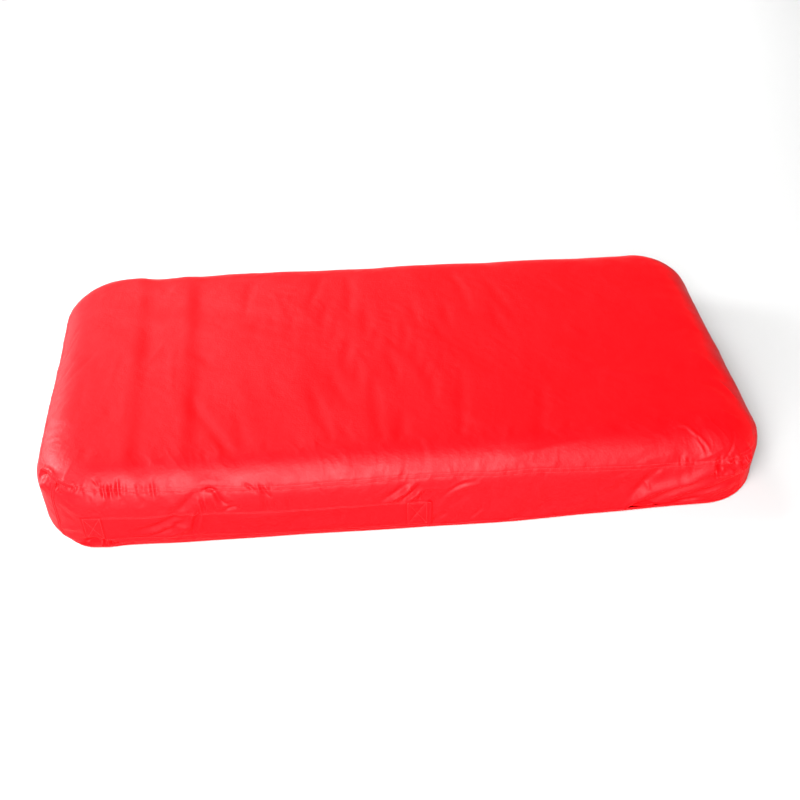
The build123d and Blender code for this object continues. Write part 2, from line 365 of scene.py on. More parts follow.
# ---------------------------------------------------------------- creases
# (rise, width, then points in u and depth), in millimetres. A negative rise is a valley. Where there
# are two widths, the first is on the left looking along the crease, with u to the right and depth up.
NEAR_CREASES = [
    # pleats beside the near left corner
    (-0.8, 3, (-503, -8), (-501, 10)), (-2, 2.4, (-497, -2), (-497, 9)),
    (-1.8, 2.4, (-500, -17), (-492, -11), (-486, -3)), (1.4, 2.4, (-487, -14), (-485, -7)),
    (-4.2, (2.2, 2.4), (-482, -8), (-481, 3), (-480, 14)), (2.2, 2, (-476.5, -8), (-476.5, 13)),
    (-3.8, 2.2, (-470, -8), (-470, 1), (-470, 11)), (1.9, 2, (-465.5, -5), (-466, 10)),
    (-4, (2.2, 2.6), (-458, -17), (-458, -2), (-457, 11)), (1.2, 2.4, (-452, -6), (-453, 9)),
    (-1.4, (2.2, 2.6), (-447, -13), (-448, 7)), (0.9, 2.4, (-441, -6), (-441, 8)),
    (-1.1, (2.4, 2.6), (-432, -9), (-431, 12)), (1.3, 2.4, (-426, -9), (-425, 10)),
    (-1.4, (2.4, 2.6), (-418, -12), (-417, 10)), (1.5, 2.4, (-411, -12), (-409, 8)),
    (-2, (2.2, 2.6), (-405, -18), (-404, -2), (-403, 14)), (1, (2.4, 2.6), (-398, -10), (-397, 6)),
    (-1, 2.4, (-476, 18), (-479, 30)), (-1, 2.4, (-451, 12), (-455, 24)),
    (-1, 2.4, (-419, 14), (-423, 26)), (-1, 2.2, (-504, 12), (-504, 20)),
    (-0.6, 3, (-385, -8), (-384, 6)), (0.5, 3, (-372, -6), (-371, 5)),
    # the pucker and what fans out under it
    (-6.5, (4, 3.2), (-324, 2), (-315, 1), (-307, 4)),
    (-3.4, (3.6, 5), (-309, 4), (-306, 12), (-301, 23), (-290, 30)),
    (1, (5, 6), (-336, -9), (-316, -12), (-296, -8)), (1.3, (4, 5), (-298, 8), (-286, 18), (-276, 24)),
    (-2.6, (3.4, 2.6), (-300, 43), (-288, 37), (-277, 34), (-271, 45)),
    (1.2, (2.6, 3), (-296, 36), (-284, 30), (-270, 29)),
    (-3.2, (6, 8), (-322, 5), (-340, 9), (-349, 18), (-362, 32), (-378, 43)),
    (-2, (2.2, 2.4), (-333, 15), (-330, 30), (-327, 44)),
    (1.7, (2.4, 2.8), (-326, 12), (-325, 27), (-324, 44)), (1.5, 2.2, (-335, 24), (-334, 47)),
    (-1.9, (2.4, 2.8), (-317, 20), (-315, 35), (-311, 46)), (1.3, (2.4, 2.6), (-311, 24), (-306, 41)),
    (-3.2, (2.6, 3.2), (-339, 33), (-339, 47), (-343, 56), (-348, 72), (-352, 88), (-353, 100)),
    (1.3, 4, (-333, 52), (-338, 70), (-343, 92)), (1.4, (4, 3), (-346, 44), (-350, 56), (-356, 66)),
    (-2.2, (5, 6), (-342, 34), (-360, 54), (-377, 55), (-391, 61), (-407, 70), (-424, 76), (-446, 84)),
    (1.6, (4, 5), (-356, 72), (-366, 76), (-389, 73), (-401, 78), (-414, 85), (-430, 92)),
    (-2.6, (4, 5), (-350, 58), (-364, 64), (-377, 73), (-392, 82), (-406, 89), (-421, 95), (-442, 99)),
    (1.7, (4, 5), (-356, 76), (-364, 82), (-380, 92), (-396, 99)),
    (-1.6, 3, (-356, 90), (-366, 96), (-380, 102)), (0.9, 7, (-392, 46), (-412, 60), (-440, 68)),
    (-0.7, 7, (-420, 20), (-404, 34), (-396, 44)),
    # more pleats along the seam
    (-2.6, (3, 2.6), (-262, -9), (-254, -4), (-244, 6)), (2, (2.6, 2.4), (-242, -8), (-238, 6)),
    (-2.6, 2.6, (-236, -6), (-231, 6), (-222, 15)), (1.6, (2.4, 2.6), (-229, -5), (-222, 12)),
    (-1.5, (2.2, 2.4), (-221, -10), (-219, 1)), (0.8, (2.4, 3), (-212, -8), (-211, 4)),
    (-1.5, (3.4, 4), (-235, 14), (-231, 32), (-229, 48)), (-1.1, (3, 4), (-219, 27), (-212, 46)),
    (-1.4, (4, 5), (-195, 18), (-189, 46)), (0.8, 4, (-226, 20), (-222, 40)),
    (0.7, 4, (-205, 22), (-201, 44)), (-1, 3, (-150, -8), (-146, 4), (-140, 12)),
    (0.9, 3, (-143, -8), (-139, 4), (-133, 10)), (-0.8, 9, (-210, 60), (-150, 66), (-90, 64)),
    (0.9, 10, (-225, 92), (-150, 88), (-60, 84)), (0.8, (5, 6), (-290, 66), (-240, 58), (-190, 57)),
    (-0.7, 7, (-300, 86), (-240, 82), (-190, 84)),
    # folds round the strap's right end
    (-1.6, 4, (-45, 42), (-26, 28), (-4, 10)), (4.2, 4.2, (-38, 47), (-14, 31), (8, 12)),
    (-3.4, 3.6, (-16, 49), (2, 33), (14, 17)), (3.8, (4, 3.4), (-8, 49), (6, 38), (20, 26)),
    (-2.6, (2.2, 2.6), (15, 49), (18, 40), (22, 28)), (0.8, 5, (-70, 46), (-50, 30), (-34, 18)),
    (0.9, (3, 4), (22, 24), (34, 23), (52, 28)), (1, (2.4, 3), (22, 28), (23, 40), (30, 50)),
    (1.2, (3.6, 4), (54, 36), (66, 24), (82, 14), (100, 8)),
    (-1.7, (3, 3.4), (53, 42), (68, 27), (86, 17), (108, 11)),
    (1.3, (3.6, 5), (54, 52), (70, 34), (90, 23), (112, 17)), (-0.9, 6, (60, 68), (82, 50), (108, 34)),
    (-0.9, (2.6, 3), (96, 92), (108, 80), (120, 68)), (0.7, (2.6, 3), (100, 94), (112, 82), (124, 70)),
    (-1.8, (4, 6), (36, 98), (50, 84), (62, 76)), (0.7, (5, 6), (40, 74), (48, 60), (60, 56)),
    (0.9, 12, (150, 60), (190, 44), (240, 30)), (-0.9, 12, (170, 90), (230, 70), (300, 46)),
    (1.2, 10, (240, 88), (290, 66), (330, 40), (350, 22)),
    # the long folds that fall from the near right corner
    (-2.4, (6, 7), (360, 74), (374, 52), (385, 33), (397, 18), (407, 8), (425, 1), (446, -11)),
    (8, (4.5, 13), (360, 90), (374, 72), (390, 58), (406, 49), (431, 42), (460, 33), (484, 22), (504, 11)),
    (-4.6, (12, 3.6), (352, 100), (369, 89), (401, 78), (423, 64), (442, 55), (464, 44), (489, 31), (506, 21)),
    (1.2, (5, 6), (404, 90), (429, 75), (455, 62), (484, 51), (506, 40)),
    (-4.2, (12, 3.6), (444, 80), (461, 71), (482, 63), (499, 57), (515, 51), (536, 45), (566, 47), (582, 38)),
    (1.6, (3, 3.4), (488, 73), (508, 66), (526, 60), (552, 58)),
    (-2.4, 2.6, (447, 86), (471, 81), (492, 77)), (-2.4, 2.4, (400, 86), (422, 91), (440, 90)),
    (-1.8, 4, (500, 84), (530, 74), (566, 68)), (1.6, 3, (386, 30), (392, 36), (396, 44)),
    (-1.4, 8, (300, 60), (330, 48), (360, 26)), (-0.9, (4, 5), (318, 22), (340, 12), (366, 4)),
    (-2.2, (2.2, 2.4), (445, -14), (445, 4)), (1.2, (2.2, 2.4), (451, -12), (451, 4)),
    (-1.6, 2.2, (456, -11), (460, -3)), (-0.9, 2.4, (467, -9), (468, 3)),
    (2.2, 5, (482, -7), (498, -15), (518, -23), (540, -28), (562, -29)),
    (-0.9, 3, (466, 0), (484, -5), (503, -12)), (-0.7, 4, (400, -8), (403, 6)),
    (1.2, (6, 7), (380, -8), (420, -18), (446, -27)), (1, 6, (372, -22), (392, -34), (410, -40)),
    # near right corner: the knot of gathered cloth
    (-10, 3.4, (512, -9), (508, 0), (507, 10), (509, 31)),
    (-2.6, (2.2, 2.4), (514, -1), (525, -10), (536, -19), (548, -30), (558, -38)),
    (3.2, (3, 4), (510, 32), (513, 20), (519, 10)), (4.6, (4.5, 6), (514, 27), (530, 25), (541, 24)),
    (-3, 2.2, (520, 7), (532, 13), (541, 22), (554, 18), (567, 18)),
    (4.2, (4.5, 3.4), (522, 2), (530, 4)), (4.2, 3.4, (541, 19), (556, 15), (568, 11)),
    (-4.5, 2.6, (538, -4), (538, 7)), (6, (13, 4), (546, -9), (545, 8), (542, 26)),
    (5.5, (13, 4), (574, -9), (573, 6), (570, 22)), (2.4, 4, (552, 30), (566, 30), (578, 26)),
    # near left corner: a loop of cloth over a hollow, with the blob below it
    (3.8, (3.6, 4), (-618, 20), (-617, 9), (-610, 0), (-596, -5), (-582, -4), (-572, 2)),
    (-6.5, 3.2, (-614, 15), (-609, 7), (-598, 4)), (-3.2, 2.4, (-608, 16), (-598, 10)),
    (3, 2.2, (-598, 3), (-588, 8)), (6, 8, (-602, 31), (-592, 18), (-580, 10)),
    (-6, (2.4, 2.8), (-566, 2), (-566, 16)), (2.4, 4, (-562, -3), (-545, -4), (-530, -3)),
    (2.2, 2.6, (-560, 6), (-551, 10), (-545, 8)), (-2.6, 2.6, (-541, 4), (-535, 2)),
    (3.2, (2.6, 3), (-529, -4), (-528, 6)), (-2, 2.4, (-562, 17), (-552, 16)),
    (1.6, 3, (-540, 14), (-530, 10), (-519, 10)), (1.6, 2.4, (-512, 0), (-511, 8)),
    (-0.9, (3, 4), (-552, 26), (-540, 34), (-530, 36)), (0.8, 4, (-548, 34), (-534, 44), (-524, 46)),
    (-1.2, (2.4, 2.6), (-518, 46), (-506, 41), (-497, 41), (-486, 43)),
    (-0.7, (4, 5), (-560, 40), (-546, 56), (-534, 66)),
    (1.8, (4, 5), (-575, 100), (-556, 92), (-531, 84)), (-1.2, 4, (-568, 108), (-548, 100), (-532, 96)),
    (0.9, 3, (-492, 20), (-490, 34), (-484, 46)),
    # the hem drawn up under the near left corner
    (-7.5, (4, 8), (-533, 124), (-522, 115), (-512, 109), (-501, 107)),
    (-7, 2.6, (-494, 118), (-495, 104)), (2.6, 2.2, (-500, 120), (-499, 106)),
    (-6.5, 2.6, (-483, 118), (-485, 107)), (2, 2, (-489, 120), (-489, 108)),
    (-7, 2.6, (-473, 120), (-476, 111)), (-4, 2.4, (-464, 120), (-466, 113)),
    (-1.8, (3, 4), (-452, 118), (-454, 112)),
    (1.6, (2.4, 2.6), (-498, 101), (-481, 103), (-470, 107), (-458, 111)),
]
# The same on the top, with points in x and y.
TOP_CREASES = [
    (1.5, (2.4, 3), (423, -250), (444, -242), (460, -241), (469, -253), (480, -265), (490, -277), (495, -288)),
    (-0.9, 2.4, (424, -254), (444, -247), (458, -247), (465, -256), (475, -268), (484, -280)),
    (1.4, 2.4, (470, -257), (473, -267), (480, -279), (485, -290)),
    (1.3, (11, 9), (-337, -104), (-322, -140), (-300, -182), (-276, -230)),
    (-1.9, (9, 11), (-345, -112), (-334, -142), (-312, -180), (-288, -226), (-270, -258)),
    (-1.2, 9, (-354, 20), (-335, 6), (-318, -24)),
    (1.2, 7, (-338, -219), (-320, -206), (-300, -236), (-304, -268)),
    (-1.2, 7, (-324, -232), (-318, -256)), (1.2, (9, 8), (-420, -212), (-404, -240), (-394, -270)),
    (0.7, (4, 6), (-483, 24), (-485, -14), (-492, -78)),
    (0.8, (3, 5), (-462, -80), (-457, -132), (-464, -156)), (0.7, 4, (-403, 56), (-420, 16), (-437, -16)),
    (0.7, 5, (-388, 34), (-387, -16), (-381, -100)), (-1.2, (6, 8), (-487, -112), (-477, -138)),
    (-1.2, 9, (-513, -206), (-510, -236)), (-0.7, (2, 3), (-560, 124), (-578, 78)),
    (-0.8, (2, 3), (-560, 98), (-584, 34)), (-0.8, (2, 3), (-552, 42), (-580, -24)),
    (-0.9, (2, 3), (-518, 48), (-543, 0), (-578, -40)), (-0.8, (2, 3), (-546, -8), (-582, -62)),
    (-0.8, (2, 3), (-552, -46), (-580, -80)), (-0.7, (2, 3), (-555, -78), (-574, -108)),
    (-0.8, (16, 14), (-300, 150), (-220, 110), (-120, 70)),
    (0.8, 14, (-310, 120), (-240, 60), (-150, 30)),
    (0.7, (14, 16), (-250, -20), (-190, -80), (-150, -150)), (0.7, 12, (-60, 60), (0, 0), (30, -60)),
    (-0.7, 10, (-20, 40), (20, -10), (60, -100)), (0.9, 14, (60, 160), (140, 120), (240, 100)),
    (0.9, 6, (204, 90), (222, 64)), (1, 8, (316, 196), (348, 144)), (0.9, 7, (320, 43), (345, 2)),
    (0.9, 8, (388, 138), (406, 98)), (0.8, 9, (424, 186), (447, 151), (466, 136)),
    (-0.9, 7, (434, 221), (460, 206)), (0.9, (8, 9), (465, 42), (506, 27)),
    (1, 8, (504, 121), (541, 100)), (1.3, 9, (352, -88), (384, -100), (464, -123)),
    (-1, 7, (356, -101), (386, -123)), (1.6, (8, 9), (514, -46), (544, -74), (562, -112)),
    (-1.8, 8, (516, -130), (545, -155), (562, -188)), (1.3, 5, (540, -120), (560, -150), (574, -180)),
    (0.8, 8, (381, -189), (413, -187), (431, -208)), (-0.9, 7, (430, -212), (467, -220), (504, -228)),
    (1, 6, (256, -229), (288, -246)), (1, 5, (300, -238), (332, -229)),
    (-0.9, 6, (231, -231), (253, -252)), (0.9, 6, (176, -216), (155, -266)),
    (1.3, (7, 6), (150, -288), (186, -276), (226, -268), (256, -262), (290, -258)),
    (-0.9, 6, (318, -44), (334, -68)), (0.8, 7, (245, -78), (259, -112)),
    (-0.7, 7, (207, -146), (252, -119)), (-0.5, (2, 3), (449, 52), (451, 12)),
    (1.1, 6, (524, -210), (557, -233)), (0.7, (8, 10), (60, -150), (110, -190), (150, -240)),
    (0.8, 8, (0, -200), (30, -240), (36, -280)), (-0.7, 5, (22, -236), (28, -262), (26, -286)),
    (0.7, 6, (-104, -246), (-96, -270), (-98, -288)), (-0.9, 8, (490, 180), (530, 158), (568, 150)),
    (-1, 8, (500, 60), (540, 20), (570, 0)),
]
HEAD_STEPS = [(-0.443, 0.0034), (-0.354, 0.0034)]
STEP_SLANT = -0.024


def curve_through(points, count=20):
    """A smooth line through a few points."""
    p = np.array(points, float)
    if len(p) < 3:
        return p[0] + (p[-1] - p[0]) * np.linspace(0, 1, 6)[:, None]
    p = np.vstack([2 * p[0] - p[1], p, 2 * p[-1] - p[-2]])
    line = []
    for i in range(1, len(p) - 2):
        t = np.linspace(0, 1, max(3, count // (len(p) - 3)), endpoint=False)[:, None]
        a, b, c, d = p[i - 1:i + 3]
        line.append(0.5 * (2 * b + (c - a) * t + (2 * a - 5 * b + 4 * c - d) * t ** 2
                           + (3 * b - a - 3 * c + d) * t ** 3))
    return np.vstack(line + [p[-2][None]])


def add_creases(total, a, b, creases):
    """Adds each crease's height to total, at the points (a, b) in metres."""
    for rise, width, *points in creases:
        left, right = width if isinstance(width, tuple) else (width, width)
        line = curve_through(points) * MM
        reach = 3 * max(left, right) * MM
        low, high = line.min(0) - reach, line.max(0) + reach
        near = (a > low[0]) & (a < high[0]) & (b > low[1]) & (b < high[1])
        if not near.any():
            continue
        pa, pb = a[near], b[near]
        best = np.full(pa.shape, 1e9)
        gap = np.zeros(pa.shape)
        place = np.zeros(pa.shape)
        count = len(line) - 1
        for k in range(count):
            start, way = line[k], line[k + 1] - line[k]
            t = ((pa - start[0]) * way[0] + (pb - start[1]) * way[1]) / (way @ way)
            t = np.clip(t, 0, 1)
            da, db = pa - start[0] - t * way[0], pb - start[1] - t * way[1]
            distance = np.hypot(da, db)
            closer = distance < best
            best = np.where(closer, distance, best)
            gap = np.where(closer, np.sign(way[0] * db - way[1] * da), gap)
            place = np.where(closer, (k + t) / count, place)
        fade = smooth(place / 0.3) * smooth((1 - place) / 0.3) * 0.65 + 0.35
        total[near] += rise * MM * fade * bell(best / (np.where(gap > 0, left, right) * MM))


def puckers(u, depth):
    """Short ripples that the stitching draws up on both sides of the top seam."""
    rng = np.random.RandomState(11)
    total = np.zeros(u.shape)
    place = U_LEFT
    near = np.abs(depth) < 0.05
    pu, pd = u[near], depth[near]
    part = np.zeros(pu.shape)
    while place < U_RIGHT:
        place += rng.uniform(5, 17) * MM
        rise = rng.choice([-1, 1]) * rng.gamma(2.0, 0.16) * MM
        width = rng.uniform(2.2, 4.5) * MM
        up, down = rng.uniform(6, 26) * MM, rng.uniform(5, 22) * MM
        lean = rng.uniform(-0.35, 0.35)
        here = np.abs(pu - place) < 4 * width + 0.012
        du = (pu[here] - place - lean * pd[here]) / width
        length = np.where(pd[here] < 0, up, down)
        part[here] += rise * bell(du) * bell(pd[here] / length)
    calm = 1 - 0.5 * smooth((pu + 0.22) / 0.08) * smooth((0.44 - pu) / 0.08)
    total[near] = part * calm * (1 - 0.75 * bell(pd / (2.5 * MM)))
    return total


def relief(base, u, depth):
    """How far the cloth stands off the smooth surface, along its normal."""
    x, y = base[..., 0], base[..., 1]
    top = smooth((0.002 - depth) / 0.03)
    flat = smooth((-0.006 - depth) / 0.03)
    rise = 0.6 * MM * waves(base, 0.24, 1) + 0.35 * MM * waves(base, 0.085, 2, (0.5, 0.5, -0.5))
    patch = smooth(0.5 + 0.5 * waves(base, 0.16, 3))
    lean = (0.55, 0.55, -0.55)
    ridge = 1 - np.abs(waves(base, 0.060, 4, lean)) / 1.1
    fine = 1 - np.abs(waves(base, 0.026, 5, lean)) / 1.1
    rise += patch * (0.55 * MM * np.clip(ridge, 0, 1) ** 4 + 0.42 * MM * np.clip(fine, 0, 1) ** 3)
    for place, drop in HEAD_STEPS:
        away = x - place - STEP_SLANT * y
        wobble = 1 + 0.25 * np.sin(y * 21 + place * 40)
        step = drop * wobble * (0.5 - smooth(0.5 + away / 0.034))
        rise += flat * step * np.where(away < 0, bell(away / 0.036), bell(away / 0.050))
    on_top = np.zeros(x.shape)
    add_creases(on_top, x, y, TOP_CREASES)
    rise += top * on_top
    on_side = np.zeros(x.shape)
    add_creases(on_side, u, depth, NEAR_CREASES)
    rise += on_side * (1 + 0.3 * smooth(depth / 0.02)) + puckers(u, depth)
    rise -= SEAM_VALLEY * bell(depth / (3.6 * MM))
    return rise


simulated = None


def sheet_at(u, l, lift=0.0):
    """Points on the creased cover, raised by lift."""
    step = 0.2 * MM
    base = point(u, l)
    across = point(u + step, l) - base
    down = point(u, l + step) - base
    normal = unit(np.cross(across, down)) * -1
    depth = l - seam_length(u)
    rise = relief(base, u, depth)
    if simulated is not None:
        rise = rise + simulated(base, depth)
    return base + normal * (rise + lift)[..., None], normal


def flat_top(plan):
    """Points of the smooth top over the plan points."""
    x, y = plan.T
    return np.stack([x, y, top_height(x, y)], -1)


def inner_top(plan):
    """Points on the flat of the creased top, inside the ring where the meridians start."""
    base = flat_top(plan)
    far = np.full(len(base), -1.0)
    rise = relief(base, np.zeros(len(base)), far)
    if simulated is not None:
        rise = rise + simulated(base, far)
    return base + rise[:, None] * (0, 0, 1)


# ---------------------------------------------------------------- cloth simulation
SETTLE_PITCH = 0.0085
SETTLE_FRAMES = 21


def settle():
    """Works out fine wrinkles with a short cloth simulation of a coarse copy of the cover.

    The copy is 1.2 percent over-size, held at the foot lip and partly at the top seam, and blown out
    by an even pressure. It touches nothing and has no weight. Only the fine part of the movement is
    used, cut off at WRINKLE_CAP. Returns a function that gives the wrinkles' height at points of the
    smooth surface.
    """
    columns = evenly(SETTLE_PITCH, U_LEFT, U_RIGHT)[:-1]
    rows = np.linspace(0, 1, 26)
    u = columns[:, None] + 0 * rows
    l = -RING_INSET + (lip_length(u) + RING_INSET) * rows
    inner = flat_top(inner_points(SETTLE_PITCH, 0.004))
    base, faces = with_top(point(u, l), inner)
    start = base.copy()
    start[:, 2] += 0.25 * MM * waves(base, 0.03, 71)
    mesh = bpy.data.meshes.new("settling")
    mesh.from_pydata(start.tolist(), [], faces)
    cover = bpy.data.objects.new("settling", mesh)
    bpy.context.scene.collection.objects.link(cover)
    held = cover.vertex_groups.new(name="held")
    depth = np.concatenate([(l - seam_length(u)).ravel(), np.full(len(inner), -1.0)])
    at_lip = np.concatenate([(rows[None] + 0 * u).ravel() > 0.985, np.zeros(len(inner), bool)])
    held.add(np.where(at_lip)[0].tolist(), 1.0, "REPLACE")
    held.add(np.where((np.abs(depth) < 4 * MM) & ~at_lip)[0].tolist(), 0.55, "REPLACE")
    cloth = cover.modifiers.new("cloth", "CLOTH")
    cloth.settings.quality = 6
    cloth.settings.mass = 0.12
    cloth.settings.tension_stiffness = 18
    cloth.settings.compression_stiffness = 18
    cloth.settings.shear_stiffness = 6
    cloth.settings.bending_stiffness = 0.06
    cloth.settings.vertex_group_mass = "held"
    cloth.settings.shrink_min = -0.012
    cloth.settings.use_pressure = True
    cloth.settings.uniform_pressure_force = 3
    cloth.settings.effector_weights.gravity = 0
    cloth.collision_settings.use_collision = False
    cloth.collision_settings.use_self_collision = False
    scene = bpy.context.scene
    for step in range(1, SETTLE_FRAMES + 1):
        scene.frame_set(step)
    settled = cover.evaluated_get(bpy.context.evaluated_depsgraph_get())
    height = ((of_vertices(settled.data, "co") - base) * of_vertices(mesh, "normal")).sum(1)
    scene.frame_set(1)
    bpy.data.objects.remove(cover)
    tree = KDTree(len(base))
    for i, place in enumerate(base):
        tree.insert(place, i)
    tree.balance()

    broad = np.array([np.mean([height[j] for _, j, _ in tree.find_range(place, 0.05)]) for place in base])
    height = np.clip(height - broad, -WRINKLE_CAP, WRINKLE_CAP)

    def wrinkle(points, depth):
        total = np.zeros(points.shape[:-1])
        flat = total.reshape(-1)
        for i, place in enumerate(points.reshape(-1, 3)):
            found = tree.find_n(place, 6)
            weights = [math.exp(-(distance / 0.006) ** 2) + 1e-9 for _, _, distance in found]
            flat[i] = sum(w * height[j] for w, (_, j, _) in zip(weights, found)) / sum(weights)
        return total * (1 - 0.8 * bell(depth / (5 * MM)))

    return wrinkle


# ---------------------------------------------------------------- mesh helpers
def make_piece(name, points, faces, body, slot, material, nodes=(), thickness=0.0):
    mesh = bpy.data.meshes.new(name)
    mesh.from_pydata(np.asarray(points, float).reshape(-1, 3).tolist(), [], faces)
    mesh.shade_smooth()
    piece = bpy.data.objects.new(name, mesh)
    bpy.context.scene.collection.objects.link(piece)
    piece.data.materials.append(material)
    if thickness:
        solid = piece.modifiers.new("cloth", "SOLIDIFY")
        solid.thickness = thickness
        solid.offset = -1
        solid.use_even_offset = False
    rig.ride(piece, body)
    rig.slot(piece, slot)
    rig.replaces(piece, *nodes)
    return piece


def grid_faces(rows, columns, closed=False, flip=False):
    """Quads for points laid out as rows of columns; closed joins the last row to the first."""
    last = rows if closed else rows - 1
    faces = []
    for i in range(last):
        j = (i + 1) % rows
        for k in range(columns - 1):
            quad = (i * columns + k, i * columns + k + 1, j * columns + k + 1, j * columns + k)
            faces.append(quad[::-1] if flip else quad)
    return faces


def graded(stations, low, high):
    """Places from low to high, spaced as the (place, spacing) stations say."""
    fine = np.linspace(low, high, 6000)
    spacing = track(fine, stations)
    count = np.concatenate([[0], np.cumsum(0.5 * (1 / spacing[1:] + 1 / spacing[:-1]) * np.diff(fine))])
    total = max(2, int(round(count[-1])))
    return np.interp(np.linspace(0, count[-1], total + 1), count, fine)


def evenly(spacing, low, high):
    return graded([(-9, spacing), (9, spacing)], low, high)


COLUMN_SPACING = [(-1.2, 0.008), (-0.75, 0.006), (-0.64, 0.0024), (-0.25, 0.0018), (-0.1, 0.0026),
                  (0.36, 0.0026), (0.50, 0.0018), (0.60, 0.0018), (0.70, 0.005), (1.2, 0.008)]


def inner_points(pitch, keep_in):
    """Plan points on the flat of the top, in staggered rows."""
    xs = np.arange(-HALF_X, HALF_X, pitch)
    ys = np.arange(-HALF_Y, HALF_Y, pitch * 0.87)
    gx, gy = np.meshgrid(xs, ys, indexing="ij")
    gx = gx + (np.arange(len(ys)) % 2) * pitch / 2
    reach = SHOULDER + RING_INSET + keep_in
    corner = np.where(gx < 0, RADIUS_LEFT, RADIUS_RIGHT)
    over_x = np.maximum(np.abs(gx) - (HALF_X - corner), 0)
    over_y = np.maximum(np.abs(gy) - (HALF_Y - corner), 0)
    over = np.hypot(over_x, over_y)
    inside = (over < corner - reach) & (np.abs(gx) < HALF_X - reach) & (np.abs(gy) < HALF_Y - reach)
    return np.stack([gx[inside], gy[inside]], -1)


def with_top(strip, inner):
    """Points and faces of a strip of columns round the pad, with triangles over the inner points."""
    columns, rows = strip.shape[:2]
    flat = [Vector(p) for p in strip[:, 0, :2].tolist() + inner[:, :2].tolist()]
    rim = [(i, (i + 1) % columns) for i in range(columns)]
    result = geometry.delaunay_2d_cdt(flat, rim, [], 1, 1e-7)
    index = [o[0] * rows if o[0] < columns else columns * (rows - 1) + o[0] for o in result[3]]
    faces = grid_faces(columns, rows, closed=True) + [tuple(index[i] for i in face) for face in result[2]]
    return np.vstack([strip.reshape(-1, 3), inner]), faces


def area_of(points, faces):
    """The modelled mesh's own area, creases included. It isn't measured from a flat cut."""
    p = np.asarray(points).reshape(-1, 3)
    f = np.array([(q[0], q[1], q[2], q[-1]) for q in faces])
    a, b, c, d = p[f[:, 0]], p[f[:, 1]], p[f[:, 2]], p[f[:, 3]]
    one = np.linalg.norm(np.cross(b - a, c - a), axis=1)
    two = np.where(f[:, 2] == f[:, 3], 0, np.linalg.norm(np.cross(c - a, d - a), axis=1))
    return float((one + two).sum() / 2)


# ---------------------------------------------------------------- materials
def new_material(name, roughness):
    """A material, its shader, its object coordinates, and functions that add a node and a colour ramp.

    Each input of an added node is either a value or the output that it is linked to.
    """
    material = bpy.data.materials.new(name)
    material.use_nodes = True
    nodes, links = material.node_tree.nodes, material.node_tree.links
    shader = nodes["Principled BSDF"]
    shader.inputs["Roughness"].default_value = roughness
    place = nodes.new("ShaderNodeTexCoord").outputs["Object"]

    def add(kind, **inputs):
        node = nodes.new("ShaderNode" + kind)
        for name, value in inputs.items():
            if isinstance(value, bpy.types.NodeSocket):
                links.new(value, node.inputs[name])
            else:
                node.inputs[name].default_value = value
        return node

    def add_ramp(source, low, high, first, second, target):
        """Runs from the first colour to the second, into one of the shader's inputs."""
        ramp = add("ValToRGB", Fac=source)
        for element, position, colour in zip(ramp.color_ramp.elements, (low, high), (first, second)):
            element.position = position
            element.color = tuple(colour) + (1,)
        links.new(ramp.outputs["Color"], shader.inputs[target])

    return material, shader, place, add, add_ramp


def cloth_material(name, colour, roughness=0.50):
    """Coated plain-weave nylon: a fine weave, faint handling marks and slightly uneven dye."""
    material, shader, place, add, add_ramp = new_material(name, roughness)
    shader.inputs["Specular IOR Level"].default_value = 0.21

    def noise(scale, detail, rough=0.5):
        return add("TexNoise", Scale=scale, Detail=detail, Roughness=rough, Vector=place).outputs["Fac"]

    dark, light = [c * 0.96 for c in colour], [min(1, c * 1.03) for c in colour]
    add_ramp(noise(9, 4), 0.3, 0.7, dark, light, "Base Color")
    add_ramp(noise(35, 5, 0.6), 0.3, 0.75, [roughness - 0.05] * 3, [roughness + 0.09] * 3, "Roughness")
    weave = None
    for axis in "XYZ":
        wave = add("TexWave", Scale=420, Distortion=0.6, Detail=1, Vector=place)
        wave.bands_direction = axis
        threads = wave.outputs["Fac"]
        if weave is not None:
            both = add("Math")
            both.operation = "ADD"
            material.node_tree.links.new(weave, both.inputs[0])
            material.node_tree.links.new(threads, both.inputs[1])
            threads = both.outputs[0]
        weave = threads
    crumpled = add("Bump", Strength=0.45, Distance=2.0 * MM, Height=noise(50, 6, 0.62))
    grained = add("Bump", Strength=0.80, Distance=0.50 * MM, Height=noise(300, 3, 0.6),
                  Normal=crumpled.outputs["Normal"])
    woven = add("Bump", Strength=0.10, Distance=0.12 * MM, Height=weave, Normal=grained.outputs["Normal"])
    material.node_tree.links.new(woven.outputs["Normal"], shader.inputs["Normal"])
    return material


def porous_material(name, colour, scale, depth, roughness=0.9, sheen=0.0):
    """Foam or wadding: a cellular bump and a mottled colour."""
    material, shader, place, add, add_ramp = new_material(name, roughness)
    shader.inputs["Sheen Weight"].default_value = sheen
    shader.inputs["Subsurface Weight"].default_value = 0.05
    shader.inputs["Subsurface Radius"].default_value = (0.004, 0.003, 0.002)
    mottle = add("TexNoise", Scale=14, Detail=5, Vector=place).outputs["Fac"]
    dark, light = [c * 0.86 for c in colour], [min(1, c * 1.04) for c in colour]
    add_ramp(mottle, 0, 1, dark, light, "Base Color")
    cells = add("TexVoronoi", Scale=scale, Vector=place).outputs["Distance"]
    bump = add("Bump", Strength=0.7, Distance=depth, Height=cells)
    material.node_tree.links.new(bump.outputs["Normal"], shader.inputs["Normal"])
    return material


